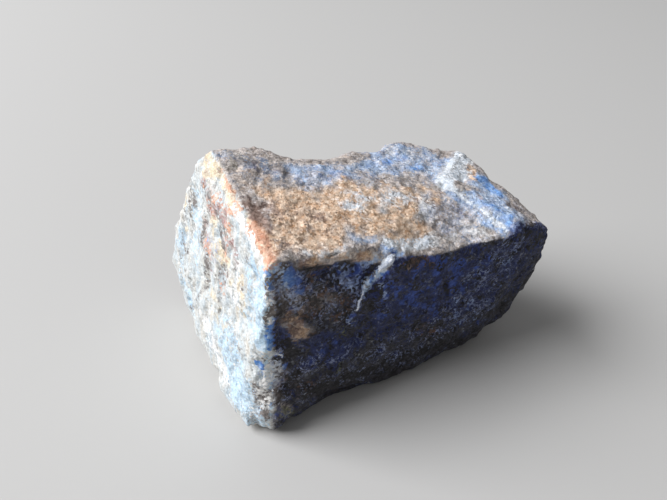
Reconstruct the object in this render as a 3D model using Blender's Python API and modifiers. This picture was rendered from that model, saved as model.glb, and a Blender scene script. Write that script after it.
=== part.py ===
"""A rough piece of lapis lazuli, broken from the rock and never cut or polished.

One closed stone. It starts as the convex block that its main fracture faces enclose,
gains the slabs that stand proud of it, loses the flakes that were knocked out of it,
and takes the lumps, chips and bedding grooves of a granular rock. The frame has +Z up,
+X along the stone towards its undercut tip, and the origin at the middle of the
footprint on the surface it lies on. Sizes are in millimetres unless a line says so.
"""

from math import exp

import bmesh
import bpy
from mathutils import Vector, noise
from mathutils.geometry import intersect_point_line

MM = 0.001  # metres in a millimetre
STONE_NAME = "lapis_lazuli_stone"

# Corners where the main fracture faces meet.
TOP_CORNERS = {
    "front_left": (-19.2, -15.0, 28.3),
    "front_middle": (-8.0, -15.4, 26.6),
    "front_right": (13.3, -16.8, 22.6),
    "tip_crest": (17.0, -17.3, 23.2),
    "tip_front": (19.6, -17.3, 22.2),
    "tip_end": (23.1, -17.2, 20.5),
    "tip_side": (22.0, -13.0, 22.3),
    "right_side": (20.1, -6.7, 24.1),
    "right_back_edge": (18.9, -3.3, 25.5),
    "right_back": (17.5, -0.5, 26.0),
    "back_middle": (-0.2, 1.1, 28.4),
    "back_left": (-19.0, 3.0, 34.2),
    "back_left_rim": (-15.2, 4.0, 32.5),
    "left_crown": (-21.0, 5.6, 31.8),
}
WAIST_CORNERS = {
    "tip_under": (24.3, -16.4, 16.0),
    "right_edge": (24.2, -15.0, 11.1),
    "right_edge_low": (23.2, -15.2, 7.3),
    "right_under": (21.3, -15.3, 4.0),
    "left_side": (-20.9, 8.5, 25.5),
    "left_shoulder": (-23.4, 13.1, 18.0),
    "left_back": (-24.7, 17.3, 8.0),
    "back_belly_left": (-14.0, 16.0, 14.0),
    "back_belly_right": (9.0, 11.5, 13.5),
    "right_back_low": (18.4, 2.0, 13.0),
}
FOOT_CORNERS = {
    "front_heel": (-22.3, -16.5, 1.2),
    "front_toe": (-18.6, -16.2, 1.9),
    "front_run": (1.1, -16.4, 0.8),
    "front_right": (11.0, -16.3, 1.9),
    "right": (17.2, -14.8, 1.7),
    "right_back": (13.0, 4.0, 2.2),
    "back_right": (2.0, 14.0, 2.4),
    "back_left": (-19.0, 18.4, 2.4),
    "left_back": (-24.3, 14.0, 1.7),
    "left_middle": (-24.8, -2.6, 2.4),
    "left_front": (-25.1, -10.5, 1.9),
    "left_heel": (-24.7, -14.8, 1.1),
}

# The sole repeats the foot's corners, drawn in to its middle and just below the ground.
SOLE_SHARE = 0.88
SOLE_MIDDLE = (-5.0, 0.0)
SOLE_LEVEL = -0.25

# Pieces that stand proud of the main block, each the convex slab between its corners.
SLABS = {
    # right of a slanting ledge on the front face
    "front_slab": {
        "ledge_top": (-2.4, -17.2, 24.4),
        "ledge_bend": (-6.6, -17.2, 21.6),
        "ledge_middle": (-8.4, -16.9, 17.0),
        "ledge_foot": (-9.6, -16.2, 11.0),
        "tip_top": (19.0, -17.8, 22.4),
        "tip_end": (22.4, -17.4, 19.0),
        "tip_under": (18.3, -17.9, 15.4),
        "foot_right": (11.2, -17.0, 4.6),
        "foot_left": (-3.0, -16.4, 3.0),
        "inside_top": (-3.4, -13.0, 21.0),
        "inside_right": (16.0, -13.0, 18.0),
        "inside_foot": (0.0, -13.0, 6.0),
    },
    # the low hump at the back of the top face
    "back_hump": {
        "left": (2.0, -0.8, 28.3),
        "left_shoulder": (5.0, 1.5, 29.2),
        "crest_left": (7.8, 2.0, 29.2),
        "crest_right": (10.3, 2.2, 28.0),
        "right": (17.1, -1.1, 26.0),
        "front": (9.0, -5.0, 27.0),
        "back": (9.0, 5.4, 24.0),
        "inside": (8.0, 0.0, 20.0),
    },
    # the rounded knob of the front left foot
    "foot_knob": {
        "top": (-20.8, -16.6, 7.4),
        "front": (-20.0, -17.6, 3.8),
        "front_low": (-20.9, -17.3, 1.2),
        "left": (-23.4, -16.2, 3.6),
        "right": (-17.6, -16.7, 3.0),
        "sole": (-21.0, -15.8, -0.2),
        "inside": (-19.5, -12.0, 4.0),
    },
    # a thick flake still standing on the back, flush on the left and proud on the right
    "back_flake": {
        "top_left": (-17.0, 5.8, 30.6),
        "top_right": (-4.0, 6.2, 26.4),
        "middle_right": (1.5, 11.6, 18.4),
        "low_right": (-1.0, 15.8, 7.0),
        "low_left": (-19.5, 18.0, 4.5),
        "inside": (-8.0, 2.0, 14.0),
    },
}

# Hollows left by flakes: the middle of a stretched ball and its radii along X, Y and Z.
FLAKE_SCARS = {
    "front_rim": ((10.0, -26.0, 33.4), (24.0, 18.0, 12.0)),
    "ledge_chip": ((-3.4, -19.0, 27.0), (3.4, 3.0, 3.2)),
    "under_rim": ((-11.5, -19.1, 24.4), (7.0, 4.2, 3.0)),
    "back_rim": ((-3.2, 6.0, 35.9), (10.6, 9.0, 8.0)),
    "front_foot": ((-11.0, -22.0, -1.2), (10.5, 7.6, 7.5)),
    "left_notch": ((-27.8, -4.6, 1.8), (3.3, 2.7, 3.1)),
    "back_left_scoop": ((-15.0, 24.4, 17.0), (9.0, 10.5, 11.0)),
    "back_scoop": ((10.0, 20.0, 16.0), (13.0, 10.5, 14.0)),
    "right_scoop": ((27.0, 0.0, 6.0), (9.0, 12.0, 9.0)),
}
BALL_SUBDIVISIONS = 4

# Relief of the broken surface: how far apart its features are and how high they stand.
SWELL_SPACING = 15.0
SWELL_HEIGHT = 0.45
LUMP_SPACING = 4.6
LUMP_HEIGHT = 0.27
LUMP_FADE = 0.8  # how fast the finer octaves of the lumps die away
LUMP_OCTAVES = 3
CHIP_SPACING = 5.0
CHIP_TILT = 0.15  # slope of a chip
CHIP_BORDER = 0.25  # share of the spacing over which neighbouring chips meet
CELL_MIX = 7.0  # spreads the chips' middles before each one's tilt is drawn
TOP_CALM = 0.6  # share of the lumps and chips that the even top face lacks
GROOVE_SPACING = 3.0
GROOVE_LENGTH = 14.0
GROOVE_DEPTH = 0.5

# The crest that crosses the top face, from the hump to the front rim.
CREST_PATH = (
    Vector((18.1, -1.5, 26.2)),
    Vector((14.8, -3.6, 26.1)),
    Vector((11.7, -6.8, 25.7)),
    Vector((13.7, -12.4, 23.8)),
    Vector((15.7, -16.4, 22.4)),
)
CREST_HEIGHT = 0.6
CREST_WIDTH = 1.3

SKIN_STEP = 0.5  # size of the even quads that carry the relief
ROUNDING_PASSES = 3  # smoothing that takes the knife edge off the fracture corners
FACETS = 8000  # triangles left once the skin is thinned
GROUND_SIZE = 80.0  # side of the block that cuts the sole

STONE_COLOUR = (0.10, 0.14, 0.30, 1.0)
STONE_ROUGHNESS = 0.75


def block_corners():
    """Every corner of the main block, with the sole's worked out from the foot's."""
    found = [*TOP_CORNERS.values(), *WAIST_CORNERS.values(), *FOOT_CORNERS.values()]
    middle_x, middle_y = SOLE_MIDDLE
    for x, y, _ in FOOT_CORNERS.values():
        sole_x = middle_x + (x - middle_x) * SOLE_SHARE
        sole_y = middle_y + (y - middle_y) * SOLE_SHARE
        found.append((sole_x, sole_y, SOLE_LEVEL))
    return found


def clear_scene():
    for obj in list(bpy.data.objects):
        bpy.data.objects.remove(obj)


def new_collection(name):
    collection = bpy.data.collections.new(name)
    bpy.context.scene.collection.children.link(collection)
    return collection


def shape_object(name, shape, collection):
    """Put a bmesh into a named object of this collection."""
    bmesh.ops.recalc_face_normals(shape, faces=shape.faces)
    mesh = bpy.data.meshes.new(name)
    shape.to_mesh(mesh)
    shape.free()
    obj = bpy.data.objects.new(name, mesh)
    collection.objects.link(obj)
    return obj


def hull_object(name, corners, collection):
    """The convex solid around these corners."""
    shape = bmesh.new()
    for corner in corners:
        shape.verts.new(Vector(corner) * MM)
    made = bmesh.ops.convex_hull(shape, input=shape.verts)
    inner = {v for v in made["geom_interior"] if isinstance(v, bmesh.types.BMVert)}
    bmesh.ops.delete(shape, geom=list(inner), context="VERTS")
    return shape_object(name, shape, collection)


def ball_object(name, middle, radii, collection):
    """A stretched ball, which cuts one flake's hollow."""
    shape = bmesh.new()
    bmesh.ops.create_icosphere(shape, subdivisions=BALL_SUBDIVISIONS, radius=1.0)
    bmesh.ops.scale(shape, verts=shape.verts, vec=Vector(radii) * MM)
    bmesh.ops.translate(shape, verts=shape.verts, vec=Vector(middle) * MM)
    return shape_object(name, shape, collection)


def add_boolean(stone, tool, operation):
    tool.hide_render = True
    tool.display_type = "WIRE"
    boolean = stone.modifiers.new(tool.name, "BOOLEAN")
    boolean.operation = operation
    boolean.solver = "EXACT"
    boolean.object = tool


def bake_modifiers(obj):
    """Replace the object's mesh by what its modifiers make of it."""
    bpy.context.view_layer.update()
    seen = obj.evaluated_get(bpy.context.evaluated_depsgraph_get())
    mesh = bpy.data.meshes.new_from_object(seen)
    obj.modifiers.clear()
    obj.data = mesh


def distance_to_path(place, path):
    """How far this place is from the nearest stretch of the path."""
    distances = []
    for start, end in zip(path, path[1:]):
        foot, share = intersect_point_line(place, start, end)
        if share < 0.0:
            foot = start
        elif share > 1.0:
            foot = end
        distances.append((place - foot).length)
    return min(distances)


def chip_height(place):
    """Height of the chips: every cell of the rock breaks at its own slight tilt."""
    distances, middles = noise.voronoi(place / CHIP_SPACING)
    tilt = noise.cell_vector(middles[0] * CELL_MIX) * 2.0 - Vector((1.0, 1.0, 1.0))
    from_border = min(1.0, (distances[1] - distances[0]) / CHIP_BORDER)
    return (place - middles[0] * CHIP_SPACING).dot(tilt) * CHIP_TILT * from_border


def groove_depth(place, normal):
    """Depth of the bedding grooves, which run up and down the left end alone."""
    along = Vector((place.x / GROOVE_SPACING, place.y / GROOVE_SPACING, place.z / GROOVE_LENGTH))
    return abs(noise.noise(along)) * GROOVE_DEPTH * max(0.0, -normal.x)


def relief(place, normal):
    """How far the broken surface stands out at this place of the skin."""
    swell = noise.noise(place / SWELL_SPACING) * SWELL_HEIGHT
    lump = noise.fractal(place / LUMP_SPACING, LUMP_FADE, 2.0, LUMP_OCTAVES) * LUMP_HEIGHT
    crest = CREST_HEIGHT * exp(-((distance_to_path(place, CREST_PATH) / CREST_WIDTH) ** 2))
    broken = (lump + chip_height(place)) * (1.0 - TOP_CALM * max(0.0, normal.z))
    return swell + crest + broken - groove_depth(place, normal)


def roughen(stone):
    """Give the stone one even skin with slightly rounded corners, and set its relief."""
    remesh = stone.modifiers.new("even_skin", "REMESH")
    remesh.mode = "VOXEL"
    remesh.voxel_size = SKIN_STEP * MM
    rounding = stone.modifiers.new("rounded_corners", "SMOOTH")
    rounding.iterations = ROUNDING_PASSES
    bake_modifiers(stone)
    vertices = stone.data.vertices
    moved = [v.co + v.normal * (relief(v.co / MM, v.normal) * MM) for v in vertices]
    for vertex, place in zip(vertices, moved):
        vertex.co = place


def ground_object(name, collection):
    """The block of ground whose top face cuts the sole flat."""
    shape = bmesh.new()
    bmesh.ops.create_cube(shape, size=GROUND_SIZE * MM)
    bmesh.ops.translate(shape, verts=shape.verts, vec=(0.0, 0.0, -GROUND_SIZE / 2 * MM))
    return shape_object(name, shape, collection)


def facet(stone, ground):
    """Thin the skin to flat facets and cut it off flat where the stone lies."""
    thin = stone.modifiers.new("facets", "DECIMATE")
    thin.ratio = FACETS / (2 * len(stone.data.polygons))
    add_boolean(stone, ground, "DIFFERENCE")
    bake_modifiers(stone)


def centre(stone):
    """Bring the origin below the middle of the stone."""
    xs = [v.co.x for v in stone.data.vertices]
    ys = [v.co.y for v in stone.data.vertices]
    to_middle = Vector((-(min(xs) + max(xs)) / 2, -(min(ys) + max(ys)) / 2, 0.0))
    for vertex in stone.data.vertices:
        vertex.co += to_middle


def rough_lapis():
    """Broken granular lapis: dull, dark blue where it isn't weathered."""
    material = bpy.data.materials.new("rough_lapis")
    material.use_nodes = True
    shader = material.node_tree.nodes["Principled BSDF"]
    shader.inputs["Base Color"].default_value = STONE_COLOUR
    shader.inputs["Roughness"].default_value = STONE_ROUGHNESS
    shader.inputs["Metallic"].default_value = 0.0
    material.diffuse_color = STONE_COLOUR
    return material


def main():
    clear_scene()
    collection = new_collection("rough_lapis_lazuli")
    tools = new_collection("slabs_and_flakes")
    stone = hull_object(STONE_NAME, block_corners(), collection)
    for name, slab in SLABS.items():
        add_boolean(stone, hull_object(name, slab.values(), tools), "UNION")
    for name, (middle, radii) in FLAKE_SCARS.items():
        add_boolean(stone, ball_object(name, middle, radii, tools), "DIFFERENCE")
    bake_modifiers(stone)
    roughen(stone)
    facet(stone, ground_object("ground", tools))
    centre(stone)
    stone.data.name = STONE_NAME
    stone.data.materials.append(rough_lapis())


main()
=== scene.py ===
"""Rough lapis lazuli: the looks of one broken, unpolished piece of the rock.

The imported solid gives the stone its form. A fine, even mesh of that form takes the sugary grain,
the grooves of the weathered end, the thin ledge on the dark face and the crack beside it. Its one
material lays grains of one mineral over the next: the mesh holds the share of grains that each
mineral has at each place, and the shader picks the grains.
Places are in millimetres: +X along the stone to its undercut tip, -Y out of the dark blue face.
"""

import math

import bpy
import numpy as np
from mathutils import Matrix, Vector, noise
from mathutils.bvhtree import BVHTree


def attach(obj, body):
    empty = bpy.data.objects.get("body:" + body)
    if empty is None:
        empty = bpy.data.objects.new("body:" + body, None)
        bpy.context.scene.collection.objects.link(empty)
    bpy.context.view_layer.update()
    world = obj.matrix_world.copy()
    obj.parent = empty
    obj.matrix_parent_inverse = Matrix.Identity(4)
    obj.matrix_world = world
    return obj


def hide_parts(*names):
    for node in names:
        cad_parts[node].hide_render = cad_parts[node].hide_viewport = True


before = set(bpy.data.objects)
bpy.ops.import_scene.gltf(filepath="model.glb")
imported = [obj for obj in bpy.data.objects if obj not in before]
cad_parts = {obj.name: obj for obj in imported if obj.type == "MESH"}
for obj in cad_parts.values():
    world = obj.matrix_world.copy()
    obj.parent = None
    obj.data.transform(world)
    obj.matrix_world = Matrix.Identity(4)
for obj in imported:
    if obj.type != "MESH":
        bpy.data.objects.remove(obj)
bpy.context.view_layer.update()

MM = 0.001  # metres in a millimetre
STONE_NODE = "lapis_lazuli_stone"

# ---------------------------------------------------------------- relief of the surface, in mm

SKIN_STEP = 0.30        # edge length of the fine mesh: about 173,000 triangles
EASE_PASSES = 5         # smoothing passes that take the solid's facets away
EASE_FACTOR = 0.5       # how far a pass moves each vertex towards the middle of its neighbours
SOLE_HEIGHT = 0.7       # the relief fades out below this height, where the stone rests

LUMP_SIZE = 2.6         # soft lumps of the broken rock
LUMP_HEIGHT = 0.18
CHIP_SIZE = 1.7         # small flat breaks, each tilted its own way
CHIP_TILT = 0.34
CHIP_BORDER = 0.25      # part of its size over which a chip runs out into the next one
CHIP_SHUFFLE = 7.3      # takes neighbours far apart in the noise, so that their tilts differ
END_CALM = 0.5          # how much flatter the chips of the weathered end are
CRUMB_SIZE = 0.8        # crumbs of a few crystals that stand up between the breaks
CRUMB_HEIGHT = 0.11
PIT_SIZE = 1.3          # pits where crystals fell out
PIT_DEPTH = 0.24
PIT_NOISE = (0.30, 0.70)     # values of the noise where a pit starts and where it is deepest
NICK_SIZE = 1.9         # nicks along the stone's edges
NICK_DEPTH = 0.45
NICK_NOISE = (0.0, 0.5)      # values of the noise where a nick starts and where it is deepest
NICK_RIM = (0.0, 0.4)        # how much the sides mix where nicks start and where they are deepest
STREAK_WIDTH = 1.1      # upright grooves of the weathered end
STREAK_LENGTH = 6.0
STREAK_DEPTH = 0.15
STREAK_NOISE = (0.0, 0.25)   # values of the noise at a groove's bottom and at its rim
CREVICE_WIDTH = 0.55    # dark crack on the ledge's left side
CREVICE_DEPTH = 0.40
LEDGE_WIDTH = 0.75      # thin ledge that catches the light on the dark face
LEDGE_HEIGHT = 0.60
PATH_CORE = 0.1         # distance from its path up to which the crack or the ledge is full

# Where each pattern starts in the endless noise, so that no two of them run alike.
SEEDS = {
    "lumps": 3.1,
    "chips": 5.7,
    "pits": 9.2,
    "crumbs": 19.4,
    "streaks": 41.9,
    "rind": 53.3,
    "nicks": 61.2,
    "clouds": 71.3,
}
CLOUD_SEED_STEP = 5.9   # from one mineral's clouds to the next one's
WANDER_SEEDS = (11.3, 23.7, 37.1)

# ---------------------------------------------------------------- sides of the stone

# The weathered end's plane: a place on it in mm and the way it faces.
END_PLACE = (-18.7, -14.8, 28.1)
END_FACING = (-0.990, -0.075, 0.116)
END_REACH = (4.0, 7.0)       # depths in mm behind that plane over which the end fades out
RIND_DEPTH = 0.9        # thickness in mm of the pale rind, seen where the end's rim is broken
RIND_FADE = (0.5, 1.5)       # parts of its thickness between which the rind runs out
RIND_STRAY = 0.6        # how far that thickness strays, in mm
RIND_STRAY_SIZE = 1.6

# How squarely a face has to face a side's way to start to count as that side, and to count in full.
END_SLOPE = (0.45, 0.70)
TOP_SLOPE = (0.45, 0.65)
FRONT_SLOPE = (0.35, 0.60)

# ---------------------------------------------------------------- minerals, in mm

EDGE_WANDER = 1.1       # how far the outline of a patch strays; less for narrow ones
WANDER_SIZE = 2.4
STEADY_RADIUS = 1.6     # strokes narrower than this keep closer to their path, with crisper edges
FULL_TO = 0.8           # part of its radius up to which a very narrow stroke is full
GONE_AT = 1.1           # part of its radius where a very narrow stroke has ended
BROAD_BLUR = 0.4        # how much earlier and later that is, as a part of a broad stroke's radius
PATCH_SIZE = 1.7        # clouds in which a mineral gathers or thins out
PATCHINESS = 0.60

GRAIN_SIZE = 0.32       # finest crystals; real ones go down to 0.1 mm, which is too fine to show
GRAIN_TILT = 0.36       # slope by which single crystal faces turn away from the surface
CLUSTER_SIZE = 0.75     # clusters of crystals of one mineral
RAGGED_SIZE = 0.40      # fine wobble that makes the crystals' outlines ragged
RAGGED_REACH = 0.25     # and how far it moves them
TONE_SIZE = 0.26        # spots that are lighter or darker within a mineral
MOTTLE_SIZE = 0.9       # soft light and dark mottling that joins several crystals
THREAD_SIZE = 0.65      # spacing of the fine pale threads
BAND_WIDTH = 1.3        # white, cream and blue-grey bands of the rind
BAND_STRETCH = 0.28     # how slowly the bands change upwards, as a part of how they change across
CRUST_SIZE = 0.22       # fine roughness of each crystal
CRUST_HEIGHT = 0.12     # before the crystals' tilt scales it

# ---------------------------------------------------------------- camera

PICTURE_WIDTH = 667                          # pixels
PICTURE_HEIGHT = 500
CAMERA_PLACE = (-38.255, -69.198, 75.111)    # mm
CAMERA_AZIMUTH = -27.32                      # degrees: 0 looks along +Y, 90 along -X
CAMERA_ELEVATION = 38.0                      # degrees down from level
LENS_LENGTH = 35.0                           # mm, like the next one
SENSOR_WIDTH = 36.0
NEAREST_SEEN = 5.0                           # mm

lens = bpy.data.cameras.new("camera")
lens.lens = LENS_LENGTH
lens.sensor_width = SENSOR_WIDTH
lens.clip_start = NEAREST_SEEN * MM
camera = bpy.data.objects.new("camera", lens)
camera.location = Vector(CAMERA_PLACE) * MM
camera.rotation_euler = (math.radians(90 - CAMERA_ELEVATION), 0.0, math.radians(CAMERA_AZIMUTH))
bpy.context.scene.collection.objects.link(camera)
bpy.context.scene.camera = camera

# ---------------------------------------------------------------- where each mineral shows

# A path runs through spots of the rendered picture, in pixels right and down from its upper left
# corner, and lies where the camera sees them on the stone. On the hidden sides it is in mm.
CREVICE_SPOTS = [(369, 267), (365, 275), (362, 283)]
LEDGE_SPOTS = [(391, 258), (380, 268), (367, 283), (360, 296), (355, 307)]
LEDGE_SHADE_SPOTS = [(412, 260), (400, 264), (390, 271), (380, 282), (373, 294)]
TIP_CREST_SPOTS = [(514, 233), (523, 227), (535, 228), (546, 234)]
# the rim beside the pale end, paled by dust and by painted light
DUSTY_LIT_RIM_SPOTS = [(278, 272), (281, 304)]
SPECKLED_RIM_SPOTS = [(268, 270), (272, 300), (268, 325)]
SPECKLED_FOOT_SPOTS = [(272, 360), (268, 382), (262, 408)]
INNER_FOOT_SPOTS = [(274, 372), (268, 398)]

# Each stroke is a strength from 0 to 1, a radius in mm and its path. It only takes on its own side
# of the stone.
TOP_STROKES = {
    "limonite": [
        # golden sugary patch
        (0.90, 3, [(285, 206), (320, 208), (350, 202)]),
        (0.85, 1.9, [(345, 190), (362, 194)]),
        # pale right end of the patch
        (0.58, 1.9, [(352, 201), (366, 218)]),
        # front half of the patch
        (0.75, 2.3, [(288, 230), (325, 230), (352, 220)]),
        # golden front rim of the patch
        (0.60, 1.6, [(264, 242), (300, 247), (330, 243)]),
        # gold spot of the middle
        (0.80, 1.2, [(398, 213), (411, 208)]),
        # tan of the middle
        (0.55, 1.6, [(380, 226), (394, 232)]),
        (0.52, 3.1, [(366, 205), (404, 218)]),
        # grey back left corner
        (0.25, 1.9, [(250, 182), (272, 187)]),
        # tan right of the cream ridge
        (0.66, 0.9, [(468, 165), (473, 176)]),
        (0.40, 0.8, [(469, 190), (480, 197)]),
        # tan in front of the middle and behind it
        (0.35, 1.4, [(400, 240), (416, 232)]),
        (0.42, 2.2, [(392, 190), (430, 198)]),
    ],
    "umber": [
        # brown band along the pale end
        (0.48, 1.1, [(240, 196), (250, 213), (262, 230)]),
        (0.30, 2.2, [(258, 212), (272, 235), (292, 246)]),
        # brown crystals of the golden patch
        (0.24, 2.8, [(280, 212), (330, 218)]),
        # brown specks right of the middle and at the tip
        (0.22, 1.4, [(420, 198), (436, 206)]),
        (0.25, 1.4, [(520, 210), (532, 221)]),
    ],
    "lazurite": [
        # navy streak at the back
        (0.45, 0.7, [(246, 166), (274, 170)]),
        # dark crystals along the back rim and the hump
        (0.20, 2.5, [(300, 176), (345, 176)]),
        (0.22, 2.3, [(384, 152), (434, 160)]),
        # dark crystals right of the middle and at the tip
        (0.24, 2.2, [(428, 200), (448, 224)]),
        (0.22, 1.6, [(514, 206), (530, 220)]),
        (0.30, 1.2, [(448, 196), (462, 214)]),
    ],
    "royal": [
        # blue band along the back rim
        (0.30, 1.4, [(325, 171), (346, 180)]),
        # blue of the hump
        (0.38, 1.1, [(384, 161), (398, 158)]),
        (0.30, 1.1, [(408, 170), (417, 168)]),
        (0.22, 1.1, [(436, 160), (446, 166)]),
        # blue shoulder, painted brighter as painted light on a slope that turns from the lamp
        (0.80, 1.2, [(482, 180), (496, 191)]),
        (0.42, 1.1, [(490, 204), (506, 218)]),
        # blue spots of the front rim
        (0.50, 0.8, [(491, 228), (505, 232)]),
        (0.35, 0.6, [(387, 252)]),
        (0.55, 0.5, [(463, 238)]),
        (0.25, 0.8, [(512, 222)]),
    ],
    "sky": [
        # blue band along the back rim
        (0.55, 2, [(298, 172), (330, 176), (366, 168)]),
        # blue of the hump
        (0.74, 3.1, [(380, 160), (415, 158), (446, 164)]),
        # blue shoulder, painted brighter as painted light on a slope that turns from the lamp
        (0.92, 2, [(478, 180), (498, 196), (512, 212)]),
        (0.90, 1.7, [(478, 196), (495, 214), (507, 227)]),
        (0.80, 1.1, [(447, 189), (470, 205), (492, 222)]),
        # pale blue left of the cream ridge
        (0.45, 1.2, [(436, 166), (430, 182)]),
        # blue spots of the front rim
        (0.65, 0.8, [(386, 250), (395, 254)]),
        (0.65, 0.6, [(424, 240)]),
        (0.40, 1.1, [(358, 238), (372, 237)]),
        # thready grey right of the middle
        (0.25, 2.5, [(430, 205), (462, 225)]),
        # blue speck of the patch
        (0.60, 0.3, [(338, 221)]),
        # grey back left corner
        (0.30, 1.9, [(232, 160), (280, 172)]),
    ],
    "calcite": [
        # cream ridge of the top
        (0.97, 1.4, [(462, 154), (452, 170), (442, 185)]),
        (0.45, 0.6, [(444, 185), (468, 199), (491, 219), (507, 231)]),
        # pale middle
        (0.66, 2.8, [(372, 200), (412, 202)]),
        (0.50, 2.2, [(352, 214), (376, 222)]),
        # pale front rim: pale crystals, made paler as painted light where the rim turns from the lamp
        (0.76, 1.2, [(392, 244), (428, 241)]),
        (0.15, 1.2, [(440, 240), (486, 232)]),
        # pale crystals of the golden patch
        (0.45, 1.6, [(345, 200), (352, 214)]),
        # pale rim of the golden patch
        (0.60, 0.8, [(310, 251), (340, 247)]),
        # thready grey right of the middle
        (0.18, 2.2, [(430, 205), (470, 228)]),
        # pale crystals of the blue shoulder
        (0.35, 1.1, [(500, 197), (516, 212)]),
        # pale crystals of the hump
        (0.22, 2.5, [(392, 160), (440, 164)]),
    ],
    "spar": [
        # cream ridge of the top
        (0.85, 1.2, [(462, 154), (452, 170), (442, 184)]),
        (0.60, 0.8, [(456, 176), (470, 172)]),
        (0.80, 0.4, [(443, 185), (456, 192), (468, 201)]),
        (0.74, 0.3, [(468, 201), (480, 209), (492, 219), (507, 231)]),
        # pale middle
        (0.30, 1.6, [(366, 196), (400, 198), (420, 206)]),
        (0.35, 0.9, [(346, 204), (364, 202)]),
        # pale front rim: pale crystals, made paler as painted light where the rim turns from the lamp
        (0.78, 1.1, [(392, 244), (424, 241)]),
        # pale crystals of the golden patch
        (0.25, 1.9, [(340, 195), (354, 212)]),
    ],
    "olive": [
        # greenish left side of the blue shoulder
        (0.30, 1.1, [(466, 188), (478, 197)]),
        # grey back left corner
        (0.20, 1.9, [(225, 160), (262, 160)]),
    ],
    "soot_and_shade": [
        # grey back left corner
        (0.20, 2.2, [(232, 165), (282, 172)]),
        # thready grey right of the middle
        (0.16, 1.9, [(428, 198), (450, 214)]),
        # brown band along the pale end
        (0.18, 1.4, [(240, 205), (256, 232)]),
        # grey tip
        (0.32, 1.6, [(514, 207), (532, 222)]),
    ],
    "frost": [
        # thready grey right of the middle
        (0.32, 3.1, [(430, 205), (470, 225)]),
        # threads of the blue band and the hump
        (0.30, 2.5, [(300, 180), (370, 180)]),
        (0.30, 2.8, [(395, 165), (440, 170)]),
        # grey tip
        (0.25, 2.2, [(515, 208), (530, 222)]),
    ],
}

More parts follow.
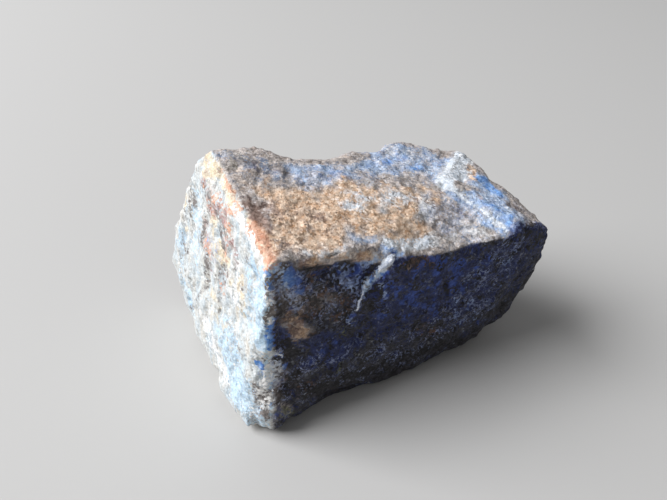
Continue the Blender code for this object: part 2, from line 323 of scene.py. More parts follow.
FRONT_STROKES = {
    "dust_and_sheen": [
        # dusty rim beside the pale end, paled by dust and by painted light on the rounded corner
        (0.60, 1.1, [(269, 270), (268, 298), (263, 322)]),
        (0.40, 2, DUSTY_LIT_RIM_SPOTS),
        # tan patch
        (0.55, 1.4, [(290, 324), (300, 332)]),
        # dusty foot
        (0.75, 1.4, [(273, 372), (272, 382), (266, 400)]),
        # pale facets above the foot, paler partly as painted highlight
        (0.45, 0.8, [(272, 356), (282, 358)]),
        # pale knob of the foot
        (0.50, 0.8, [(278, 408), (288, 413)]),
        # brown lip under the golden patch, paled with dust and with painted light where it lies in
        # shade
        (0.95, 1.1, [(304, 261), (330, 258), (345, 257), (366, 255), (382, 253)]),
        # brown dusk below the bevel
        (0.25, 1.7, [(300, 300), (326, 300)]),
    ],
    "limonite": [
        # brown bevel under the golden patch
        (0.70, 0.8, [(310, 262), (338, 258), (366, 256)]),
        # tan patch
        (0.60, 1.2, [(292, 314), (296, 326), (302, 334)]),
        # tan line above the patch
        (0.30, 0.5, [(303, 298), (305, 312)]),
        # rusty speck
        (0.75, 0.4, [(433, 261)]),
        # brown seam under the front rim
        (0.12, 0.8, [(408, 268), (426, 266)]),
        # rusty speck low on the right
        (0.35, 0.4, [(475, 335), (479, 332)]),
    ],
    "umber": [
        # brown bevel under the golden patch
        (0.42, 0.9, [(306, 264), (332, 265)]),
        (0.32, 0.8, [(335, 260), (364, 258)]),
        # brown dusk below the bevel
        (0.40, 2.8, [(308, 292), (335, 305)]),
        # rim beside the pale end, paled by dust and painted light
        (0.18, 1.6, [(272, 285), (272, 318)]),
        # tan patch
        (0.45, 1.6, [(290, 318), (300, 334)]),
        # brown seam under the front rim
        (0.60, 0.9, [(402, 262), (440, 262)]),
        # brown dusk low on the dark face
        (0.25, 1.9, [(426, 325), (442, 336)]),
        (0.14, 2.8, [(290, 385), (330, 392)]),
        # speckled foot
        (0.07, 1.4, [(274, 374), (268, 398)]),
    ],
    "olive": [
        # olive streak
        (0.75, 0.4, [(344, 326), (343, 350), (338, 372)]),
        # olive knob of the foot
        (0.60, 0.8, [(276, 411), (290, 414)]),
    ],
    "lazurite": [
        # dark blue mass
        (0.75, 7, [(400, 300), (440, 292), (500, 272)]),
        # blue nest at the left rim
        (0.70, 1.1, [(297, 282), (303, 290)]),
        # rim beside the pale end, paled by dust and painted light
        (0.30, 1.9, DUSTY_LIT_RIM_SPOTS),
        # speckled foot
        (0.35, 1.4, INNER_FOOT_SPOTS),
        # blue strip left of the ledge
        (0.65, 1.6, [(330, 273), (362, 276)]),
        # painted shade in the hollow above the foot
        (0.85, 1.4, [(284, 346), (281, 334)]),
        # violet-blue patch
        (0.85, 2.7, [(316, 350), (345, 347)]),
        # dark tip
        (0.75, 1.9, [(520, 236), (540, 242)]),
    ],
    "royal": [
        # blue nest at the left rim
        (0.78, 0.9, [(289, 273), (298, 288)]),
        # blue strip left of the ledge
        (0.40, 1.2, [(332, 269), (350, 272), (364, 267)]),
        # blue below the front rim
        (0.42, 1.4, [(440, 256), (455, 266), (448, 285)]),
        # bright blue of the dark blue mass
        (0.45, 0.7, [(408, 284), (412, 305)]),
        (0.26, 3.4, [(395, 300), (440, 300)]),
        # violet-blue patch
        (0.25, 1.9, [(320, 350), (340, 345)]),
        # blue beside the ledge
        (0.50, 0.9, [(376, 278), (392, 290)]),
        # blue glints of the right side
        (0.15, 1.4, [(465, 300), (478, 322)]),
        (0.20, 3.8, [(430, 262), (470, 262)]),
    ],
    "sky": [
        # rim beside the pale end, paled by dust and painted light
        (0.45, 1.7, [(276, 272), (278, 302)]),
        # blue nest at the left rim
        (0.38, 1.9, [(290, 280), (302, 298)]),
        (0.86, 0.8, [(278, 270), (287, 273), (290, 282)]),
        # blue strip left of the ledge
        (0.60, 0.9, [(336, 269), (363, 268)]),
        (0.36, 1.4, [(340, 281), (358, 286)]),
        # pale blue above the ledge, partly painted light on the shaded lip
        (0.50, 0.9, [(368, 257), (382, 253)]),
        # pale fleck right of the ledge
        (0.80, 0.4, [(382, 286), (384, 300)]),
        # pale facets above the foot, paler partly as painted highlight
        (0.30, 1.2, [(268, 355), (277, 368)]),
        # pale blue haze of the right side
        (0.12, 2.8, [(455, 306), (478, 316)]),
        (0.12, 3.1, [(478, 288), (505, 252)]),
    ],
    "calcite": [
        # brown bevel under the golden patch, lightened with calcite as painted light
        (0.42, 0.7, [(306, 262), (336, 259), (364, 256)]),
        # tan patch
        (0.30, 1.1, [(293, 324), (300, 330)]),
        # pale facets above the foot, paler partly as painted highlight
        (0.75, 0.5, [(268, 352), (283, 357)]),
        (0.60, 0.5, [(270, 372), (277, 366)]),
        # speckled foot
        (0.40, 1.4, [(269, 378), (266, 402)]),
    ],
    "spar": [
        # pale facets above the foot, paler partly as painted highlight
        (0.80, 0.3, [(266, 352), (282, 356)]),
        (0.50, 0.3, [(270, 372), (277, 366)]),
    ],
    # soot grains here are dark specks, and in the strokes marked so, painted shade
    "soot_and_shade": [
        # painted shade in the hollow above the foot
        (0.55, 0.8, [(272, 346), (286, 343), (292, 352)]),
        # painted shade: the foot of the dark face made darker
        (0.45, 2.5, [(320, 388), (400, 366), (450, 342)]),
        # brown dusk below the bevel
        (0.22, 2.2, [(310, 292), (340, 306)]),
        # shadow of the ledge
        (0.45, 1.1, [(374, 290), (372, 305)]),
        # dark tip
        (0.35, 1.4, [(515, 234), (540, 240)]),
        # painted shade in the hollow above the foot
        (0.55, 0.8, [(286, 344), (289, 354)]),
        # painted shade in the hollows between the pale facets
        (0.40, 0.6, [(268, 358), (279, 363)]),
        # dark right side of the foot
        (0.40, 1.1, [(283, 384), (278, 398)]),
        # painted shade in the gap left of the tan patch
        (0.30, 0.8, [(283, 310), (286, 318)]),
        # rim beside the pale end, paled by dust and painted light
        (0.30, 1.7, [(277, 276), (279, 306)]),
        # speckled foot
        (0.20, 1.4, INNER_FOOT_SPOTS),
    ],
    "frost": [
        # pale threads of the right side
        (0.20, 3.1, [(478, 285), (505, 254)]),
        # pale threads low on the dark face
        (0.14, 4.1, [(300, 380), (420, 345)]),
        (0.16, 3.4, [(440, 320), (480, 310)]),
        # rim beside the pale end, paled by dust and painted light
        (0.12, 2, [(276, 272), (280, 310)]),
        # brown dusk below the bevel
        (0.22, 3.1, [(300, 300), (340, 300)]),
    ],
}

END_STROKES = {
    "limonite": [
        # cream crown of the end
        (0.62, 1.7, [(204, 158), (208, 172)]),
        (0.75, 1.2, [(214, 160), (224, 182), (234, 200)]),
        # yellow stains
        (0.50, 1.2, [(218, 248), (230, 276)]),
        (0.40, 1.2, [(240, 280), (240, 310)]),
        (0.35, 1.2, [(213, 222), (213, 250)]),
        (0.35, 1.1, [(186, 196), (184, 225)]),
        (0.22, 2.2, [(212, 300), (222, 330)]),
    ],
    "rust": [
        # salmon stripe along the top's rim
        (0.60, 0.8, [(221, 168), (231, 188), (240, 203)]),
        # pink stain
        (0.28, 1.7, [(206, 194), (214, 208), (228, 209)]),
        (0.85, 0.4, [(204, 187)]),
        (0.80, 0.5, [(227, 212), (236, 213)]),
        # pink streaks below the stain
        (0.30, 1.1, [(226, 225), (224, 262), (223, 290)]),
        (0.30, 1.2, [(204, 225), (207, 250)]),
    ],
    "umber": [
        # mauve specks of the pink stain
        (0.34, 1.7, [(204, 192), (214, 210), (230, 212)]),
        # cream crown of the end
        (0.15, 1.6, [(205, 160), (210, 178)]),
        # mauve streaks below the stain
        (0.32, 1.4, [(206, 230), (210, 262)]),
        (0.28, 1.4, [(226, 232), (236, 262)]),
        # speckled foot
        (0.08, 1.4, [(258, 390), (262, 415)]),
    ],
    "sky": [
        # ice-blue rim beside the dark face: a bruised edge, paler partly as painted highlight
        (0.95, 0.9, [(262, 270), (260, 300), (259, 325), (263, 346)]),
        # ice-blue speck of the pink stain
        (0.80, 0.5, [(224, 222)]),
        # bluish left margin, cooler and darker as painted shade where the end curves away
        (0.45, 1.6, [(180, 236), (182, 278), (192, 304)]),
        (0.35, 1.9, [(196, 205), (194, 260)]),
        # bluish right margin
        (0.40, 1.2, [(248, 262), (252, 320)]),
        # bluish lower half
        (0.72, 3.1, [(226, 340), (240, 388)]),
        (0.68, 2, [(235, 385), (252, 418)]),
    ],
    "royal": [
        # blue crystals of the foot
        (0.18, 1.2, [(262, 385), (262, 410)]),
        # blue crystals of the middle
        (0.14, 1.4, [(208, 240), (216, 260)]),
    ],
    "spar": [
        # white stripe
        (0.75, 0.7, [(234, 205), (246, 228), (259, 258)]),
        # white lower left
        (0.45, 1.6, [(204, 322), (216, 352), (226, 376)]),
        # white below the stripe
        (0.40, 1.1, [(240, 268), (236, 300)]),
    ],
    "calcite": [
        # white stripe
        (0.92, 0.7, [(235, 206), (246, 228), (259, 258)]),
        # white lower left
        (0.50, 1.7, [(205, 320), (222, 372)]),
        # white below the stripe
        (0.35, 1.2, [(238, 264), (232, 300)]),
    ],
    "soot_and_shade": [
        # speckled pink stain
        (0.30, 1.6, [(206, 192), (213, 215)]),
        # upright rows of dark specks
        (0.38, 1.1, [(203, 215), (202, 238), (206, 262)]),
        (0.44, 0.7, [(206, 266), (204, 288)]),
        (0.32, 1.2, [(222, 222), (224, 262), (221, 300)]),
        # slanting crack
        (0.42, 0.5, [(206, 286), (197, 300), (190, 308)]),
        # faint specks of the right half, the left margin and the lower half; on the left margin they
        # also lay painted shade
        (0.14, 1.9, [(238, 240), (240, 300)]),
        (0.26, 2.2, [(190, 195), (182, 260)]),
        (0.10, 2.5, [(225, 330), (240, 370)]),
        # speckled foot
        (0.26, 1.4, [(259, 384), (264, 404), (258, 422)]),
    ],
}

# Strokes at the edges and at the ledge, which take on every side of the stone.
EDGE_STROKES = {
    "sky": [
        # blue crystals above the ledge
        (0.85, 0.8, [(386, 249), (401, 250)]),
        # pale-blue side of the ledge, partly painted highlight on its lit flank
        (0.94, 0.6, [(379, 270), (372, 278), (366, 286)]),
        (0.60, 0.3, [(363, 288), (357, 303)]),
        # pale fleck right of the ledge
        (0.30, 0.5, [(378, 286)]),
        # speckled rim beside the dark face
        (0.76, 0.9, [(268, 268), (272, 300), (268, 325)]),
        # speckled foot
        (0.72, 1.4, SPECKLED_FOOT_SPOTS),
        # blue knob at the foot of the ledge
        (0.92, 0.6, [(350, 313), (349, 318)]),
        # azure crystals
        (0.90, 0.7, [(263, 329), (265, 345)]),
        # steel-blue strip left of the ledge
        (0.30, 0.9, [(368, 258), (358, 272), (352, 292)]),
        # ice-blue rim of the pale end: a bruised edge, paler partly as painted highlight
        (0.80, 0.5, [(252, 264), (257, 300), (255, 330)]),
    ],
    "royal": [
        # blue crystals of the foot
        (0.85, 0.6, [(256, 364), (262, 369)]),
        (0.75, 0.5, [(279, 356), (283, 366)]),
        # speckled rim beside the dark face
        (0.42, 0.9, SPECKLED_RIM_SPOTS),
        # blue crystals above the ledge
        (0.45, 0.6, [(388, 249), (400, 252)]),
        # speckled foot
        (0.16, 1.4, SPECKLED_FOOT_SPOTS),
        # azure crystals
        (0.75, 0.7, [(268, 334), (271, 347)]),
        # blue knob at the foot of the ledge
        (0.22, 0.6, [(352, 314), (351, 319)]),
        # blue shadow side of the ledge
        (0.45, 0.4, [(386, 271), (376, 282)]),
        (0.20, 0.5, [(380, 268), (372, 277)]),
    ],
    "rind": [
        # weathered side of the ledge, pale partly as painted highlight on its lit flank
        (0.55, 0.5, [(378, 270), (371, 278), (366, 286)]),
        # blue nest at the left rim
        (0.25, 0.6, [(280, 270), (288, 274), (290, 282)]),
    ],
    "frost": [
        # speckled foot
        (0.36, 1.6, SPECKLED_FOOT_SPOTS),
        # speckled rim beside the dark face
        (0.12, 1.1, SPECKLED_RIM_SPOTS),
    ],
    "umber": [
        # speckled rim beside the dark face
        (0.20, 1.1, [(270, 285), (268, 325)]),
    ],
    "soot_and_shade": [
        # speckled foot
        (0.25, 1.6, SPECKLED_FOOT_SPOTS),
        # speckled rim beside the dark face
        (0.46, 1.1, [(270, 280), (268, 325)]),
    ],
    "rust": [
        # salmon stripe along the top's rim
        (0.80, 1.2, [(251, 226), (260, 245), (267, 262)]),
    ],
    "limonite": [
        # salmon stripe along the top's rim
        (0.85, 1.2, [(249, 222), (260, 243), (266, 258)]),
    ],
    "spar": [
        # white head of the ledge: a pale vein, painted white partly as a highlight
        (0.88, 0.6, [(391, 259), (385, 262), (380, 266)]),
        # pale line of the ledge: a pale vein, partly painted highlight
        (0.34, 0.4, [(375, 272), (370, 279), (366, 285)]),
        (0.85, 0.2, [(364, 287), (359, 298), (355, 307)]),
        # white speck below the ledge
        (0.70, 0.2, [(350, 323)]),
        # speckled rim beside the dark face
        (0.30, 0.8, [(267, 268), (270, 300), (267, 325)]),
        # speckled foot
        (0.46, 1.2, [(272, 368), (268, 382), (262, 405)]),
    ],
    # clean strokes take off the dust and its painted sheen; on the ledge's dark side that lays
    # painted shade
    "clean_and_shaded": [
        # speckled rim beside the dark face
        (0.90, 0.7, [(265, 272), (268, 300), (265, 328)]),
        # facets above the foot
        (0.70, 1.1, [(268, 356), (280, 362)]),
        # crest of the dark tip
        (1.00, 1.1, TIP_CREST_SPOTS),
        # dark side of the ledge
        (1.00, 0.8, LEDGE_SHADE_SPOTS),
    ],
    "lazurite": [
        # speckled foot
        (0.50, 1.4, [(270, 366), (267, 384), (262, 408)]),
        # speckled rim beside the dark face
        (0.40, 0.9, [(268, 270), (271, 300), (268, 325)]),
        # crest of the dark tip
        (0.92, 1.1, TIP_CREST_SPOTS),
        # dark side of the ledge
        (0.80, 0.8, LEDGE_SHADE_SPOTS),
    ],
}

HIDDEN_STROKES = {
    "lazurite": [
        # blue band across the back
        (0.60, 4.2, [(-17, 16, 11), (-9, 15.5, 13), (-2, 13.5, 15)]),
        (0.50, 3, [(8, 9, 13), (13, 5, 18)]),
        # blue patch of the right side
        (0.58, 3.6, [(22, -9, 13), (20, -2, 16)]),
    ],
    "royal": [
        # blue band across the back
        (0.40, 2.2, [(-11, 15.4, 13), (-4, 14, 14)]),
        # blue patch of the right side
        (0.28, 3, [(22, -9, 13), (20.4, -3, 16)]),
    ],
    "sky": [
        # paler blue below the rim
        (0.35, 3.2, [(-6, 8, 24), (2, 6, 24)]),
    ],
    "calcite": [
        # pale vein down the back
        (0.80, 0.8, [(-15, 8.5, 26), (-12, 11.9, 20), (-10.5, 15.2, 14), (-10, 17, 6)]),
        # pale edge of the right side
        (0.40, 2.5, [(20, -7, 22), (19, -2, 23)]),
    ],
    "limonite": [
        # rusty stain of the back
        (0.48, 2.8, [(2, 13.9, 8), (6, 11.5, 13)]),
    ],
    "umber": [
        # rusty stain of the back
        (0.35, 2.8, [(2, 13.9, 7), (6, 12, 11)]),
    ],
}

STROKES = {
    "top": TOP_STROKES,
    "front": FRONT_STROKES,
    "end": END_STROKES,
    "any": EDGE_STROKES,
    "hidden": HIDDEN_STROKES,
}

# The share of grains that each mineral has over a whole side, before any stroke. The top's dust
# also lays its painted sheen, and where dust is lacking, the fresh tones lay painted shade.
SIDE_GROUND = {
    "top": {
        "dust_and_sheen": 1.0, "sky": 0.08, "calcite": 0.08, "limonite": 0.08, "soot_and_shade": 0.05, "frost": 0.08,
    },
    "front": {
        "dust_and_sheen": 0.03, "lazurite": 0.30, "sky": 0.05, "calcite": 0.05, "soot_and_shade": 0.24, "frost": 0.07,
    },
    "end": {
        "dust_and_sheen": 1.0, "rind": 1.0, "sky": 0.12, "frost": 0.10, "limonite": 0.05, "soot_and_shade": 0.10,
    },
    "hidden": {
        "dust_and_sheen": 0.45, "lazurite": 0.35, "sky": 0.12, "calcite": 0.12, "limonite": 0.12, "soot_and_shade": 0.12,
    },
}

# ---------------------------------------------------------------- colours

# The grains, from the lowest to the one that lies over all others. For each: the random number
# that picks its grains, then its darkest and lightest tones on fresh rock, under the dust of the
# top and on the weathered rind. The fresh tones are partly painted shade of the dark face, the
# dusty ones partly painted sheen of the lit top. Sky is pale blue, and on the top it also stands
# for blue crystals paled by painted sheen. Frost is fine pale threads, spar is clean white calcite,
# limonite is golden tan, umber is brown, rust is salmon, and soot is near-black specks, which some
# strokes also lay as painted shade.
GRAINS = (
    ("olive", "cluster 2", ("#24271C", "#686A50"), ("#6F6D58", "#B8B29A"), ("#8A8874", "#C8C6B4")),
    ("lazurite", "crystal 2", ("#080C24", "#2D3A74"), ("#3B456E", "#7E89B2"), ("#5B72A8", "#8FA6D2")),
    ("sky", "crystal 1", ("#4A609C", "#B4C6E8"), ("#84A0CC", "#D3E5F8"), ("#B2D0E6", "#E2F3FC")),
    ("calcite", "crystal 3", ("#80848E", "#DADDE4"), ("#BEBFC0", "#F4F3F1"), ("#E2E6E8", "#FBFCFC")),
    ("frost", "thread", ("#3A4466", "#A4B0D6"), ("#A2A4B0", "#E4E6F0"), ("#CED6DC", "#F2F5F6")),
    ("limonite", "cluster 1", ("#503C32", "#A6866E"), ("#C0936C", "#FDE8D0"), ("#DEC8A4", "#F8EFDC")),
    ("umber", "crystal 1", ("#241A16", "#6C5246"), ("#7A6054", "#BCA092"), ("#966F6D", "#D8BCB6")),
    ("royal", "cluster 3", ("#16245F", "#4560B4"), ("#5686D0", "#A4CCF4"), ("#2A6CC8", "#8CBCF0")),
    ("rust", "crystal 1", ("#6E4634", "#B08066"), ("#C98A68", "#F6CCB2"), ("#D68E6E", "#F8D0B4")),
    ("soot_and_shade", "crystal 2", ("#08080B", "#201E24"), ("#423936", "#887E7A"), ("#564E4C", "#9E9690")),
    # spar's fresh tones are near white, partly as painted highlight for the ledge on the shaded face
    ("spar", "crystal 3", ("#AEBEDE", "#FFFFFF"), ("#CFDBE6", "#FFFFFF"), ("#EAE6E0", "#FFFEFA")),
)
COATS = ("clean_and_shaded", "dust_and_sheen", "rind")      # clean: where the dust and its painted sheen come off, down to fresh rock with its painted shade
MINERALS = COATS + tuple(grain[0] for grain in GRAINS)

# Darkest and lightest tones of what lies under the grains: fresh rock is darker partly as painted
# shade of the dark face, dusty rock is paler from dust and from painted sheen of the lit top.
FRESH_SHADED_ROCK = ("#0F0F16", "#3A3A45")
DUSTY_SHEENED_ROCK = ("#857A74", "#E2D6CC")
COOL_RIND = ("#A6B9C3", "#E2EDF2")
WARM_RIND = ("#D6CAB8", "#F8F3E9")

FLOOR_PAINT = "#BEBCB8"
WINDOW_GLOW = "#F8FAFF"
AIR_GLOW = "#F2F4F8"

# ---------------------------------------------------------------- patterns over the stone


def ease(value, low, high):
    """0 below low, 1 above high, and smooth between them."""
    share = np.clip((value - low) / (high - low), 0, 1)
    return share * share * (3 - 2 * share)


def rough_field(places, size, seed):
    """Smooth noise from -1 to 1 at each place, with lumps of the given size in mm."""
    spots = (places / size + seed).tolist()
    return np.array([noise.noise(spot) for spot in spots])


def chip_field(places, size, seed):
    """Height of small flat breaks, each tilted its own way, as a part of their size in mm."""
    half = Vector((0.5, 0.5, 0.5))
    heights = []
    for spot in (places / size + seed).tolist():
        reach, middles = noise.voronoi(spot)
        tilt = noise.cell_vector(middles[0] * CHIP_SHUFFLE) - half
        border = min((reach[1] - reach[0]) / CHIP_BORDER, 1.0)
        heights.append(border * (Vector(spot) - middles[0]).dot(tilt))
    return np.array(heights)


def place_on(solid, point):
    """A path's point as a place in mm: where the camera sees it on the solid, if it is a spot."""
    if len(point) == 3:
        return point
    right, down = point
    # half a pixel more is the middle of the spot's pixel
    across = right + 0.5 - PICTURE_WIDTH / 2
    up = PICTURE_HEIGHT / 2 - down - 0.5
    ahead = LENS_LENGTH / SENSOR_WIDTH * PICTURE_WIDTH
    sight = Vector((across, up, -ahead))
    sight.rotate(camera.rotation_euler)
    return solid.ray_cast(camera.location, sight)[0] / MM


def path_distance(places, path):
    """How far each place is from a path of straight runs, in mm."""
    points = np.array(path, float)
    nearest = np.linalg.norm(places - points[0], axis=1)
    for start, end in zip(points[:-1], points[1:]):
        run = end - start
        along = np.clip((places - start) @ run / (run @ run), 0, 1)
        reached = start + along[:, None] * run
        nearest = np.minimum(nearest, np.linalg.norm(places - reached, axis=1))
    return nearest


# ---------------------------------------------------------------- the stone's mesh


def fine_skin(node):
    """A fine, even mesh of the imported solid, with its facets eased away."""
    stone = bpy.data.objects.new("rough_lapis_skin", node.data.copy())
    bpy.context.scene.collection.objects.link(stone)
    skin = stone.modifiers.new("even_skin", "REMESH")
    skin.mode = "VOXEL"
    skin.voxel_size = SKIN_STEP * MM
    ease_facets = stone.modifiers.new("ease_facets", "SMOOTH")
    ease_facets.factor = EASE_FACTOR
    ease_facets.iterations = EASE_PASSES
    evaluated = stone.evaluated_get(bpy.context.evaluated_depsgraph_get())
    mesh = bpy.data.meshes.new_from_object(evaluated)
    stone.modifiers.clear()
    stone.data = mesh
    mesh.materials.clear()
    return stone


def places_and_normals(mesh):
    """Every vertex's place in mm and its normal."""
    places = np.empty(len(mesh.vertices) * 3)
    normals = np.empty(len(mesh.vertices) * 3)
    mesh.vertices.foreach_get("co", places)
    mesh.vertex_normals.foreach_get("vector", normals)
    return places.reshape(-1, 3) / MM, normals.reshape(-1, 3)


def side_shares(places, normals):
    """How much each vertex belongs to the top, dark front, pale end and hidden sides."""
    depth = (np.array(END_PLACE) - places) @ np.array(END_FACING)
    depth += RIND_STRAY * rough_field(places, RIND_STRAY_SIZE, SEEDS["rind"])
    thins, gone = [part * RIND_DEPTH for part in RIND_FADE]
    rind = 1 - ease(depth, thins, gone)
    end_face = ease(-normals[:, 0], *END_SLOPE) * (1 - ease(depth, *END_REACH))
    end = np.maximum(end_face, rind)
    top = ease(normals[:, 2], *TOP_SLOPE) * (1 - end)
    front = ease(-normals[:, 1], *FRONT_SLOPE) * (1 - end) * (1 - top)
    return {"end": end, "top": top, "front": front, "hidden": 1 - end - top - front}


def bare_share(places, wander, solid, ground, strokes):
    """How much of each place a mineral leaves bare, with its ground share and its strokes."""
    bare = np.full(len(places), 1 - ground)
    for strength, radius, points in strokes:
        path = [place_on(solid, point) for point in points]
        breadth = min(1, radius / STEADY_RADIUS)
        strayed = places + EDGE_WANDER * breadth * wander
        full = (FULL_TO - BROAD_BLUR * breadth) * radius
        gone = (GONE_AT + BROAD_BLUR * breadth) * radius
        bare *= 1 - strength * (1 - ease(path_distance(strayed, path), full, gone))
    return bare


def mineral_shares(places, sides, solid):
    """For each mineral, the share of grains that are of it at each vertex."""
    wander = np.stack([rough_field(places, WANDER_SIZE, seed) for seed in WANDER_SEEDS], axis=1)
    shares = {}
    for rank, mineral in enumerate(MINERALS):
        bare = np.zeros(len(places))
        for side, weight in sides.items():
            ground = SIDE_GROUND[side].get(mineral, 0.0)
            strokes = STROKES[side].get(mineral, [])
            bare += weight * bare_share(places, wander, solid, ground, strokes)
        bare *= bare_share(places, wander, solid, 0.0, STROKES["any"].get(mineral, []))
        share = 1 - bare
        if mineral not in COATS:
            # the clouds change a share of one half most, and leave none or all as they are
            cloud = rough_field(places, PATCH_SIZE, SEEDS["clouds"] + CLOUD_SEED_STEP * rank)
            share = np.clip(share + PATCHINESS * cloud * 4 * share * (1 - share), 0, 1)
        shares[mineral] = share
    # clean takes off the dust with its painted sheen, which leaves the fresh tones' painted shade
    shares["dust_and_sheen"] *= 1 - shares.pop("clean_and_shaded")
    return shares


def raise_grain(places, normals, sides, solid):
    """The places moved along their normals by the relief of the broken, sugary rock."""
    chips = CHIP_TILT * CHIP_SIZE * chip_field(places, CHIP_SIZE, SEEDS["chips"])
    pits = ease(rough_field(places, PIT_SIZE, SEEDS["pits"]), *PIT_NOISE)
    rim = ease(1 - np.max(list(sides.values()), axis=0), *NICK_RIM)
    nicks = ease(rough_field(places, NICK_SIZE, SEEDS["nicks"]), *NICK_NOISE)
    upright = places * (1, 1, STREAK_WIDTH / STREAK_LENGTH)
    from_groove = np.abs(rough_field(upright, STREAK_WIDTH, SEEDS["streaks"]))
    from_crevice = path_distance(places, [place_on(solid, spot) for spot in CREVICE_SPOTS])
    from_ledge = path_distance(places, [place_on(solid, spot) for spot in LEDGE_SPOTS])

    height = LUMP_HEIGHT * rough_field(places, LUMP_SIZE, SEEDS["lumps"])
    height += chips * (1 - END_CALM * sides["end"])
    height += CRUMB_HEIGHT * rough_field(places, CRUMB_SIZE, SEEDS["crumbs"])
    height -= PIT_DEPTH * pits
    height -= NICK_DEPTH * rim * nicks
    height -= STREAK_DEPTH * sides["end"] * (1 - ease(from_groove, *STREAK_NOISE))
    height -= CREVICE_DEPTH * (1 - ease(from_crevice, PATH_CORE, CREVICE_WIDTH))
    height += LEDGE_HEIGHT * (1 - ease(from_ledge, PATH_CORE, LEDGE_WIDTH))
    height *= ease(places[:, 2], 0.0, SOLE_HEIGHT)
    raised = places + normals * height[:, None]
    raised[:, 2] = np.maximum(raised[:, 2], 0.0)
    return raised


def model_stone(node):
    """The finished mesh of the stone, with each mineral's share kept at its vertices."""
    stone = fine_skin(node)
    solid = BVHTree.FromObject(node, bpy.context.evaluated_depsgraph_get())
    places, normals = places_and_normals(stone.data)
    sides = side_shares(places, normals)
    for mineral, share in mineral_shares(places, sides, solid).items():
        attribute = stone.data.attributes.new(mineral, "FLOAT", "POINT")
        attribute.data.foreach_set("value", share.astype(np.float32))
    raised = raise_grain(places, normals, sides, solid)
    stone.data.vertices.foreach_set("co", (raised * MM).ravel())
    stone.data.shade_smooth()
    stone.data.update()
    return stone


# ---------------------------------------------------------------- materials

CRISP = 0.12            # how gradually crystals turn from one mineral to the next on bare rock
DUSTY = 0.28            # and under the dust of the top
RIND_CRISPING = 0.5     # part of the dust's softening that the rind takes back

THREAD_REACH = 0.10     # how far from its middle value the noise of the threads still counts
THREAD_PICKS = (0.1, 0.9)    # the pick on a thread and the pick away from all of them

SPOT_POWER = 1.5        # above 1: more dark spots than light ones
SPOT_PART = 0.5         # part of the tone that comes from the spots
MOTTLE_PART = 0.5       # part of the tone that comes from the mottling
MOTTLE_NOISE = (0.3, 0.7)    # values of the noise where the mottling is darkest and lightest
BAND_NOISE = (0.25, 0.75)    # values of the noise where the rind's bands are coolest and warmest

ROCK_IOR = 1.5          # lazurite has 1.50, calcite between 1.49 and 1.66
ROCK_ROUGHNESS = (0.55, 0.90)    # a cluster glints a little or stays dull
FLOOR_ROUGHNESS = 0.9


def linear(hex_colour):
    """An sRGB hex colour as the linear RGBA that a shader takes."""
    channels = [int(hex_colour[i:i + 2], 16) / 255 for i in (1, 3, 5)]
    return [c / 12.92 if c <= 0.04045 else ((c + 0.055) / 1.055) ** 2.4 for c in channels] + [1.0]


def add(tree, kind, inputs=None, **settings):
    """Adds a node with its settings, and fills its inputs with values or from other nodes.

    A node among the inputs stands for its first output.
    """
    made = tree.nodes.new(kind)
    for name, value in settings.items():
        setattr(made, name, value)
    for socket, value in (inputs or {}).items():
        if isinstance(value, bpy.types.Node):
            value = value.outputs[0]
        if isinstance(value, bpy.types.NodeSocket):
            tree.links.new(value, made.inputs[socket])
        else:
            made.inputs[socket].default_value = value
    return made


def blend_colours(tree, share, first, second):
    """The colour between two others at the given share; each may be a hex colour or an output."""
    first, second = [linear(c) if isinstance(c, str) else c for c in (first, second)]
    # a Mix node's colours are its inputs 6 and 7, and the mixed colour is its output 2
    return add(tree, "ShaderNodeMix", {0: share, 6: first, 7: second}, data_type="RGBA").outputs[2]


def ragged_place(tree, in_mm):
    """The place in mm with a fine wobble, so that the crystals' outlines are ragged."""
    wobble = add(tree, "ShaderNodeTexNoise", {
        "Vector": in_mm, "Scale": 1 / RAGGED_SIZE, "Detail": 2.0,
    })
    centred = add(tree, "ShaderNodeVectorMath", {
        0: wobble.outputs["Color"], 1: (0.5, 0.5, 0.5),
    }, operation="SUBTRACT")
    return add(tree, "ShaderNodeVectorMath", {
        0: centred, 1: (RAGGED_REACH, RAGGED_REACH, RAGGED_REACH), 2: in_mm,
    }, operation="MULTIPLY_ADD")


def crystal_picks(tree, cells, softness):
    """Three random numbers for each crystal, kept off 0 and 1 by the softness of the change."""
    from_one = add(tree, "ShaderNodeMath", {0: 1.0, 1: softness}, operation="SUBTRACT")
    numbers = add(tree, "ShaderNodeSeparateColor", {"Color": cells.outputs["Color"]})
    return [
        add(tree, "ShaderNodeMapRange", {"Value": number, "To Min": softness, "To Max": from_one})
        for number in numbers.outputs
    ]


def thread_pick(tree, grain_place):
    """A number that is low on fine threads, which run where a smooth noise has its middle value."""
    crossing = add(tree, "ShaderNodeTexNoise", {
        "Vector": grain_place, "Scale": 1 / THREAD_SIZE, "Detail": 3.0,
    })
    off_middle = add(tree, "ShaderNodeMath", {0: crossing, 1: 0.5}, operation="SUBTRACT")
    off_thread = add(tree, "ShaderNodeMath", {0: off_middle}, operation="ABSOLUTE")
    on_it, away = THREAD_PICKS
    return add(tree, "ShaderNodeMapRange", {
        "Value": off_thread, "From Max": THREAD_REACH, "To Min": on_it, "To Max": away,
    })


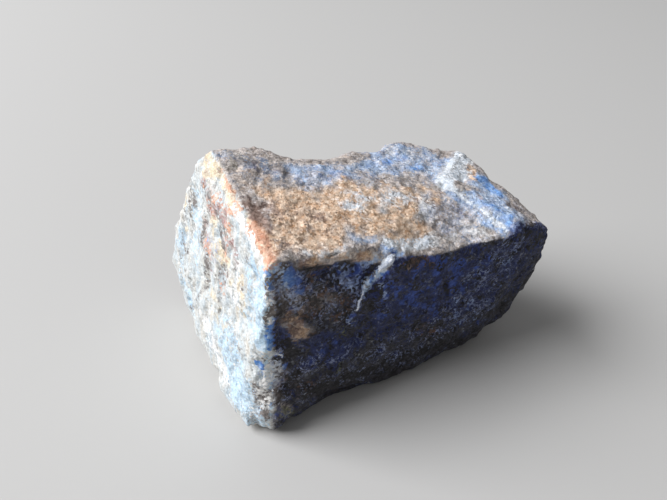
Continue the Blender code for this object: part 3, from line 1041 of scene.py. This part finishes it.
def crystal_tone(tree, grain_place):
    """How light each spot within a mineral is, from 0 to 1: small spots over a soft mottling."""
    spots = add(tree, "ShaderNodeTexVoronoi", {"Vector": grain_place, "Scale": 1 / TONE_SIZE})
    number = add(tree, "ShaderNodeSeparateColor", {"Color": spots.outputs["Color"]})
    spot = add(tree, "ShaderNodeMath", {0: number, 1: SPOT_POWER}, operation="POWER")
    mottle = add(tree, "ShaderNodeTexNoise", {
        "Vector": grain_place, "Scale": 1 / MOTTLE_SIZE, "Detail": 3.0,
    })
    darkest, lightest = MOTTLE_NOISE
    soft = add(tree, "ShaderNodeMapRange", {
        "Value": mottle, "From Min": darkest, "From Max": lightest, "To Max": MOTTLE_PART,
    })
    return add(tree, "ShaderNodeMath", {0: spot, 1: SPOT_PART, 2: soft}, operation="MULTIPLY_ADD")


def rind_colour(tree, in_mm, tone):
    """The weathered rind of the end: upright bands of white, cream and cool blue-grey."""
    upright = add(tree, "ShaderNodeMapping", {"Vector": in_mm, "Scale": (1.0, 1.0, BAND_STRETCH)})
    bands = add(tree, "ShaderNodeTexNoise", {
        "Vector": upright, "Scale": 1 / BAND_WIDTH, "Detail": 4.0,
    })
    coolest, warmest = BAND_NOISE
    warmth = add(tree, "ShaderNodeMapRange", {
        "Value": bands, "From Min": coolest, "From Max": warmest,
    })
    cool = blend_colours(tree, tone, *COOL_RIND)
    warm = blend_colours(tree, tone, *WARM_RIND)
    return blend_colours(tree, warmth, cool, warm)


def lay_grains(tree, below, mineral, pick, softness, grain_colour):
    """Grains of one mineral over the colour below, where the grain's pick falls under its share."""
    share = add(tree, "ShaderNodeAttribute", attribute_name=mineral).outputs["Fac"]
    over = add(tree, "ShaderNodeMath", {0: share, 1: pick}, operation="SUBTRACT")
    steps = add(tree, "ShaderNodeMath", {0: over, 1: softness}, operation="DIVIDE")
    # half shown where the pick just meets the share
    shown = add(tree, "ShaderNodeMath", {
        0: steps, 1: 0.5, 2: 0.5,
    }, operation="MULTIPLY_ADD", use_clamp=True)
    return blend_colours(tree, shown, below, grain_colour)


def leaning_faces(tree, crystals, grain_place, in_mm):
    """A bump that leans each crystal's face its own way, so that single grains catch the light."""
    lean = add(tree, "ShaderNodeVectorMath", {
        0: crystals.outputs["Color"], 1: (0.5, 0.5, 0.5),
    }, operation="SUBTRACT")
    from_middle = add(tree, "ShaderNodeVectorMath", {
        0: grain_place, 1: crystals.outputs["Position"],
    }, operation="SUBTRACT")
    facet = add(tree, "ShaderNodeVectorMath", {0: lean, 1: from_middle}, operation="DOT_PRODUCT")
    crust = add(tree, "ShaderNodeTexNoise", {
        "Vector": in_mm, "Scale": 1 / CRUST_SIZE, "Detail": 3.0,
    })
    height = add(tree, "ShaderNodeMath", {
        0: crust, 1: CRUST_HEIGHT, 2: facet.outputs["Value"],
    }, operation="MULTIPLY_ADD")
    # a lean is at most a half, so twice the tilt turns it into the steepest slope
    return add(tree, "ShaderNodeBump", {
        "Height": height, "Strength": 1.0, "Distance": 2 * GRAIN_TILT * MM,
    })


def lapis_rock():
    """Granular lapis rock, broken and left rough: dull and sugary, a mineral to each crystal."""
    material = bpy.data.materials.new("granular_lapis_broken_rough")
    material.use_nodes = True
    tree = material.node_tree
    tree.nodes.clear()

    place = add(tree, "ShaderNodeTexCoord").outputs["Object"]
    in_mm = add(tree, "ShaderNodeVectorMath", {0: place, "Scale": 1 / MM}, operation="SCALE")
    grain_place = ragged_place(tree, in_mm)
    crystals = add(tree, "ShaderNodeTexVoronoi", {"Vector": grain_place, "Scale": 1 / GRAIN_SIZE})
    clusters = add(tree, "ShaderNodeTexVoronoi", {"Vector": grain_place, "Scale": 1 / CLUSTER_SIZE})

    # dust, which also lays the top's painted sheen, softens the change from crystal to crystal, on
    # the rind only half as much
    dust_and_sheen = add(tree, "ShaderNodeAttribute", attribute_name="dust_and_sheen").outputs["Fac"]
    rind = add(tree, "ShaderNodeAttribute", attribute_name="rind").outputs["Fac"]
    softening = add(tree, "ShaderNodeMath", {
        0: rind, 1: -RIND_CRISPING, 2: dust_and_sheen,
    }, operation="MULTIPLY_ADD")
    softness = add(tree, "ShaderNodeMapRange", {
        "Value": softening, "To Min": CRISP, "To Max": DUSTY,
    })
    fine = crystal_picks(tree, crystals, softness)
    coarse = crystal_picks(tree, clusters, softness)
    picks = {
        "crystal 1": fine[0], "crystal 2": fine[1], "crystal 3": fine[2],
        "cluster 1": coarse[0], "cluster 2": coarse[1], "cluster 3": coarse[2],
        "thread": thread_pick(tree, grain_place),
    }

    # under the grains: rock that is dark where fresh, partly as painted shade, and pale where dusty,
    # partly as painted sheen, then the rind
    tone = crystal_tone(tree, grain_place)
    fresh_shaded = blend_colours(tree, tone, *FRESH_SHADED_ROCK)
    dusty_sheened = blend_colours(tree, tone, *DUSTY_SHEENED_ROCK)
    rock = blend_colours(tree, dust_and_sheen, fresh_shaded, dusty_sheened)
    colour = blend_colours(tree, rind, rock, rind_colour(tree, in_mm, tone))

    for mineral, pick, *tones in GRAINS:
        # each grain's fresh tones carry painted shade and its dusty tones painted sheen
        on_fresh_shaded, on_dusty_sheened, on_rind = [blend_colours(tree, tone, *pair) for pair in tones]
        exposed = blend_colours(tree, dust_and_sheen, on_fresh_shaded, on_dusty_sheened)
        crystal = blend_colours(tree, rind, exposed, on_rind)
        colour = lay_grains(tree, colour, mineral, picks[pick], softness, crystal)

    smoothest, dullest = ROCK_ROUGHNESS
    sheen = add(tree, "ShaderNodeMapRange", {
        "Value": coarse[0], "To Min": smoothest, "To Max": dullest,
    })
    surface = add(tree, "ShaderNodeBsdfPrincipled", {
        "Base Color": colour, "Roughness": sheen, "IOR": ROCK_IOR,
        "Normal": leaning_faces(tree, crystals, grain_place, in_mm),
    })
    add(tree, "ShaderNodeOutputMaterial", {"Surface": surface})
    return material


def pale_floor_paint():
    """Smooth matt paint, so that only the stone draws the eye."""
    material = bpy.data.materials.new("matt_pale_floor")
    material.use_nodes = True
    surface = material.node_tree.nodes["Principled BSDF"]
    surface.inputs["Base Color"].default_value = linear(FLOOR_PAINT)
    surface.inputs["Roughness"].default_value = FLOOR_ROUGHNESS
    return material


# ---------------------------------------------------------------- the stone

stone = model_stone(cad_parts[STONE_NODE])
stone.data.materials.append(lapis_rock())
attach(stone, "root")
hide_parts(STONE_NODE)

# ---------------------------------------------------------------- floor and light, in metres

FLOOR_SIZE = 6.0
WINDOW_WIDTH = 0.72
WINDOW_DISTANCE = 1.0
WINDOW_DIRECTION = (-0.64, 0.32, 0.70)       # seen from the stone
STONE_MIDDLE = (0, 0, 0.015)
WINDOW_POWER = 16.5                          # watts
AIR_STRENGTH = 0.26                          # even light from all around

bpy.ops.mesh.primitive_plane_add(size=FLOOR_SIZE)
floor = bpy.context.object
floor.name = "pale_floor"
floor.data.materials.append(pale_floor_paint())

lamp = bpy.data.lights.new("window_light", "AREA")
lamp.size = WINDOW_WIDTH
lamp.energy = WINDOW_POWER
lamp.color = linear(WINDOW_GLOW)[:3]
window = bpy.data.objects.new("window_light", lamp)
toward_window = Vector(WINDOW_DIRECTION)
window.location = toward_window.normalized() * WINDOW_DISTANCE + Vector(STONE_MIDDLE)
window.rotation_euler = toward_window.to_track_quat("Z", "Y").to_euler()
bpy.context.scene.collection.objects.link(window)

air = bpy.data.worlds.new("studio_air")
air.use_nodes = True
air.node_tree.nodes["Background"].inputs["Color"].default_value = linear(AIR_GLOW)
air.node_tree.nodes["Background"].inputs["Strength"].default_value = AIR_STRENGTH
bpy.context.scene.world = air
bpy.context.scene.view_settings.view_transform = "Standard"
